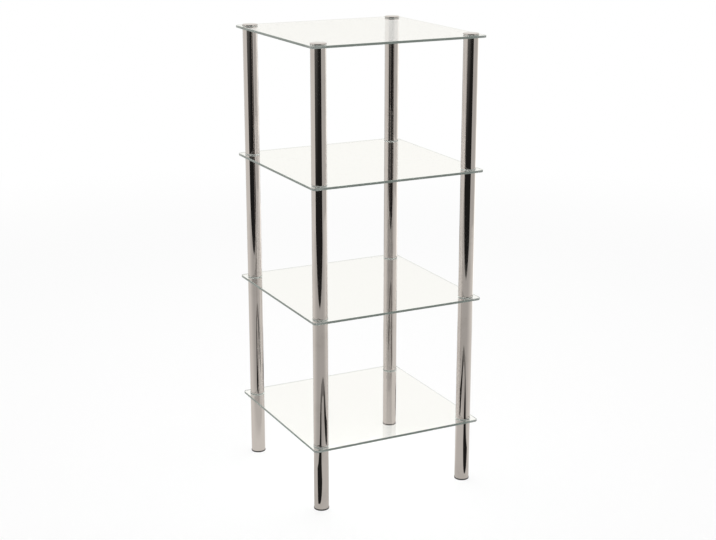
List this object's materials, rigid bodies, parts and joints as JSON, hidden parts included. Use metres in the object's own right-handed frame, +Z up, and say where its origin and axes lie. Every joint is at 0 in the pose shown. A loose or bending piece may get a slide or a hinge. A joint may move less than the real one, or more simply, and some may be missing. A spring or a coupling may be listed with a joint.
{
  "type": "glass etagere",
  "caption": "Free-standing tower of square clear glass shelves with rounded corners, clamped between chromed round tube columns that end in low caps above and black feet below.",
  "frame": {"origin": "on the floor, in the middle of the four feet", "axes": "+Z up along the columns, the front towards -Y, +X to the right seen from the front"},
  "size_m": [0.4, 0.4, 1.002],
  "materials": {
    "shelf_glass": "clear, ground edges",
    "tube_chrome": "bright chrome plate",
    "cap_chrome": "bright chrome plate",
    "foot_plastic": "moulded, matt",
    "clear_washer": "clear, soft",
    "stud_steel": "zinc plated",
    "insert_steel": "turned"
  },
  "bodies": {
    "root": {"bottom_shelf": "shelf_glass", "lower_shelf": "shelf_glass", "upper_shelf": "shelf_glass", "top_shelf": "shelf_glass", "leg_front_left": "tube_chrome", "leg_front_right": "tube_chrome", "leg_rear_right": "tube_chrome", "leg_rear_left": "tube_chrome", "lower_post_front_left": "tube_chrome", "lower_post_front_right": "tube_chrome", "lower_post_rear_right": "tube_chrome", "lower_post_rear_left": "tube_chrome", "middle_post_front_left": "tube_chrome", "middle_post_front_right": "tube_chrome", "middle_post_rear_right": "tube_chrome", "middle_post_rear_left": "tube_chrome", "upper_post_front_left": "tube_chrome", "upper_post_front_right": "tube_chrome", "upper_post_rear_right": "tube_chrome", "upper_post_rear_left": "tube_chrome", "cap_front_left": "cap_chrome", "cap_front_right": "cap_chrome", "cap_rear_right": "cap_chrome", "cap_rear_left": "cap_chrome", "foot_front_left": "foot_plastic", "foot_front_right": "foot_plastic", "foot_rear_right": "foot_plastic", "foot_rear_left": "foot_plastic", "bottom_shelf_washers_below": "clear_washer", "bottom_shelf_washers_above": "clear_washer", "lower_shelf_washers_below": "clear_washer", "lower_shelf_washers_above": "clear_washer", "upper_shelf_washers_below": "clear_washer", "upper_shelf_washers_above": "clear_washer", "top_shelf_washers_below": "clear_washer", "top_shelf_washers_above": "clear_washer", "bottom_shelf_studs": "stud_steel", "lower_shelf_studs": "stud_steel", "upper_shelf_studs": "stud_steel", "leg_top_inserts": "insert_steel", "lower_post_bottom_inserts": "insert_steel", "lower_post_top_inserts": "insert_steel", "middle_post_bottom_inserts": "insert_steel", "middle_post_top_inserts": "insert_steel", "upper_post_bottom_inserts": "insert_steel", "upper_post_top_inserts": "insert_steel"}
  },
  "joints": []
}
